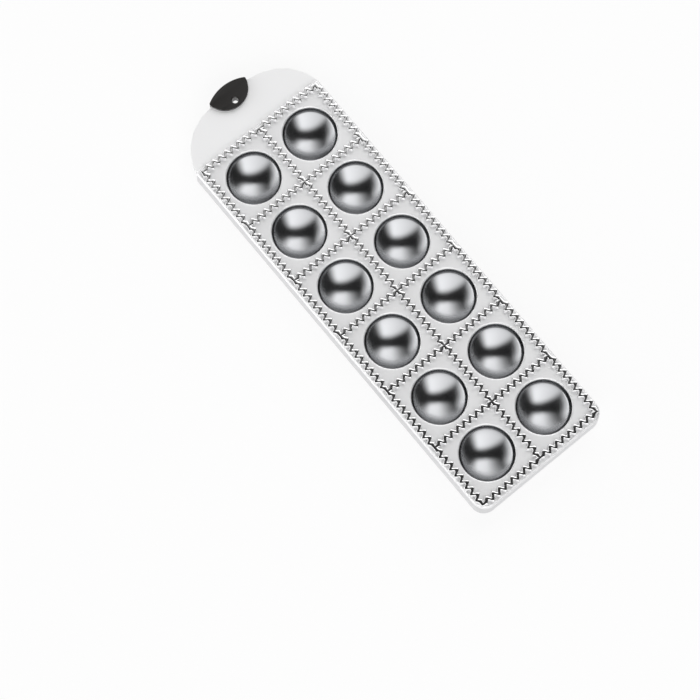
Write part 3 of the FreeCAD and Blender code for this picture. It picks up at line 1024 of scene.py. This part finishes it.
@dataclass(frozen=True)
class RubberFoot:
    """A rubber foot: a rounded pad with the stem that holds it in its post."""

    node: str
    edge: float = 0.6
    thickness: float = 2.0
    stem_radius: float = 1.95

    def model(self) -> Workpiece:
        """Turns the foot about its axis.

        Returns:
            The foot.
        """
        low, high = node_box(self.node)
        radius = (high.x - low.x) / 2
        middle = Vector(((low.x + high.x) / 2, (low.y + high.y) / 2, low.z))
        bend = middle + Vector((radius - self.edge, 0, self.edge))
        piece = Workpiece.point(self.node.replace("foot", "dressed_foot"), middle)
        with piece.editing():
            piece.draw_line(Vector((radius - self.edge, 0, 0)))
            piece.draw_arc(bend, -math.pi / 2, 6, Vector((0, 1, 0)))
            piece.draw_line(Vector((0, 0, self.thickness - self.edge)))
            piece.draw_line(Vector((self.stem_radius - radius, 0, 0)))
            piece.draw_line(Vector((0, 0, high.z - low.z - self.thickness)))
            piece.draw_line(Vector((-self.stem_radius, 0, 0)))
            piece.turn(middle, 64)
        piece.smooth(SHARP)
        return piece


@dataclass(frozen=True)
class Studio:
    """The pale floor, the soft light all round and the camera above the mould."""

    azimuth: float = math.radians(-39.364)
    elevation: float = math.radians(77.0)
    lens: float = 120.0
    sensor: float = 36.0
    distance: float = 1454.5
    target: Vector = Vector((-47.516, -27.017, 18.5))
    far_panel: float = 1.95
    near_panel: float = 2.05
    side_light: float = 3.3
    gap_darkness: float = 0.03
    gap_width: float = 0.27
    gap_turn: float = 0.12
    gap_taper: float = 0.08
    rightward_gain: float = 0.35
    side_narrowing: float = 0.3
    floor_size: float = 12.0
    floor_drop: float = 0.0002
    floor_white: float = 0.85

    @property
    def back(self) -> Vector:
        """The way from the target to the camera."""
        level = math.cos(self.elevation)
        return Vector((
            math.sin(self.azimuth) * level, -math.cos(self.azimuth) * level,
            math.sin(self.elevation)))

    def set_camera(self) -> None:
        """Puts the camera where the photograph was taken from."""
        camera = bpy.data.cameras.new("camera")
        camera.lens = self.lens
        camera.sensor_width = self.sensor
        obj = bpy.data.objects.new("camera", camera)
        obj.location = (self.target + self.back * self.distance) * MM
        obj.rotation_mode = "QUATERNION"
        obj.rotation_quaternion = (-self.back).to_track_quat("-Z", "Y")
        bpy.context.scene.collection.objects.link(obj)
        bpy.context.scene.camera = obj

    def lay_floor(self) -> None:
        """Lays the white floor that the feet stand on."""
        bpy.ops.object.select_all(action="DESELECT")
        bpy.ops.mesh.primitive_plane_add(
            size=self.floor_size, location=(0, 0, -self.floor_drop))
        floor = bpy.context.object
        floor.name = "floor"
        material = bpy.data.materials.new("pale_floor")
        board = Board(material)
        paper = board.add("ShaderNodeBsdfDiffuse", inputs={"Color": (1, 1, 1, 1)})
        white = board.add("ShaderNodeEmission", inputs={"Color": (1, 1, 1, 1), "Strength": 1.0})
        path = board.add("ShaderNodeLightPath").socket.node
        by_camera = Signal(board, path.outputs["Is Camera Ray"])
        seen = by_camera + Signal(board, path.outputs["Is Glossy Ray"])
        mixed = board.add(
            "ShaderNodeMixShader", inputs={0: seen * self.floor_white, 1: paper, 2: white})
        board.add("ShaderNodeOutputMaterial", inputs={"Surface": mixed})
        floor.data.materials.append(material)

    def light(self) -> None:
        """Surrounds the mould with two soft panels, a low side light and a dark gap overhead."""
        world = bpy.data.worlds.new("studio")
        bpy.context.scene.world = world
        board = Board(world)
        direction = board.add("ShaderNodeTexCoord", output="Generated")
        right = Vector((math.cos(self.azimuth), math.sin(self.azimuth), 0))
        ahead = Vector((-math.sin(self.azimuth), math.cos(self.azimuth), 0))
        across = board.add(
            "ShaderNodeVectorMath", {"operation": "DOT_PRODUCT"}, {0: direction, 1: right},
            output="Value")
        along = board.add(
            "ShaderNodeVectorMath", {"operation": "DOT_PRODUCT"}, {0: direction, 1: ahead},
            output="Value")
        _, _, up = board.parts(direction)
        middle = along - across * self.gap_turn
        gap = middle.math("ABSOLUTE") + across * self.gap_taper - self.gap_width
        far = middle.step(-0.1, 0.1)
        panels = (far * up.step(0.0, 0.3) * across.step(-0.9, 0.15) * self.far_panel
                  + (1.0 - far) * up.step(0.05, 0.5) * self.near_panel)
        lit = (panels * gap.step(-0.1, 0.3) * (1.0 + across * self.rightward_gain)
               * (1.0 - across.step(0.45, 0.85)))
        leftward = (0.0 - across) - along.math("ABSOLUTE") * self.side_narrowing
        side = (1.0 - up.step(0.1, 0.6)) * leftward.step(0.4, 0.8) * self.side_light
        strength = lit.math("MAXIMUM", side).math("MAXIMUM", self.gap_darkness)
        path = board.add("ShaderNodeLightPath").socket.node
        seen = Signal(board, path.outputs["Is Camera Ray"])
        shown = strength * (1.0 - seen) + seen
        light = board.add(
            "ShaderNodeBackground", inputs={"Color": (1, 1, 1, 1), "Strength": shown})
        board.add("ShaderNodeOutputWorld", inputs={"Surface": light})


SATIN = Finish(
    "satin_aluminium", (0.95, 0.95, 0.955), metallic=1.0, roughness=0.6, unevenness=0.05,
    blotch=0.02, grain=0.0004, grain_depth=0.000006)
# Painted shade: the skirt is the same satin aluminium, given a darker colour so its sides look
# shaded.
SHADED_SKIRT = Finish(
    "shaded_skirt_aluminium", (0.76, 0.76, 0.768), metallic=1.0, roughness=0.5, unevenness=0.05,
    blotch=0.02, grain=0.0004, grain_depth=0.000006)
MATTE = Finish(
    "matte_aluminium", (0.97, 0.97, 0.972), metallic=1.0, roughness=0.85, unevenness=0.04,
    blotch=0.03, grain=0.0004, grain_depth=0.000006)
# Painted shade: the bowls are polished aluminium like the ridges, given a dark colour so they
# render dark as if shaded.
BOWL_PAINTED_SHADE = Finish(
    "bowl_aluminium_painted_shade", (0.375, 0.38, 0.39), metallic=1.0, roughness=0.2, unevenness=0.03,
    blotch=0.01, grain=0.0006, grain_depth=0.0)
BRIGHT = Finish(
    "bright_ridges", (0.86, 0.86, 0.865), metallic=1.0, roughness=0.1, unevenness=0.04,
    blotch=0.004, grain=0.0008, grain_depth=0.000001)
RAW = Finish(
    "raw_casting", (0.72, 0.72, 0.73), metallic=1.0, roughness=0.5, unevenness=0.1,
    blotch=0.01, grain=0.0005, grain_depth=0.00003)
PLASTIC = Finish(
    "black_plastic", (0.0085, 0.0072, 0.0062), metallic=0.0, roughness=0.3, unevenness=0.06,
    blotch=0.004, grain=0.0003, grain_depth=0.000004)
RUBBER = Finish(
    "black_rubber", (0.03, 0.03, 0.03), metallic=0.0, roughness=0.7, unevenness=0.08,
    blotch=0.002, grain=0.0004, grain_depth=0.00001)


def main() -> None:
    """Builds the mould and its studio, piece by piece."""
    logging.basicConfig(level=logging.INFO)
    layout = Layout()
    handle = Handle(layout)
    tab = HangingTab(layout, handle.end_y, handle.top_z)
    tray = Tray(layout, Bowls(layout), handle, tab)
    casting = tray.model(
        SATIN.material(), SHADED_SKIRT.material(), MATTE.material(), BOWL_PAINTED_SHADE.material(),
        RAW.material())
    casting.finish("cast_aluminium", "mould_plate")
    bright = BRIGHT.material()
    for upright in (False, True):
        ridges = Ridges(layout).lattice(upright)
        ridges.dress(bright)
        ridges.finish("cast_aluminium", "mould_plate")
    lens = tab.model()
    lens.dress(PLASTIC.material())
    lens.smooth(SHARP)
    lens.finish("black_plastic", "hanging_tab")
    rubber = RUBBER.material()
    for node in ("foot_end_left", "foot_end_right", "foot_handle_left", "foot_handle_right"):
        foot = RubberFoot(node).model()
        foot.dress(rubber)
        foot.finish("black_rubber", node)
    studio = Studio()
    studio.lay_floor()
    studio.light()
    studio.set_camera()
    bpy.context.scene.view_settings.view_transform = "Standard"


if __name__ == "__main__":
    main()
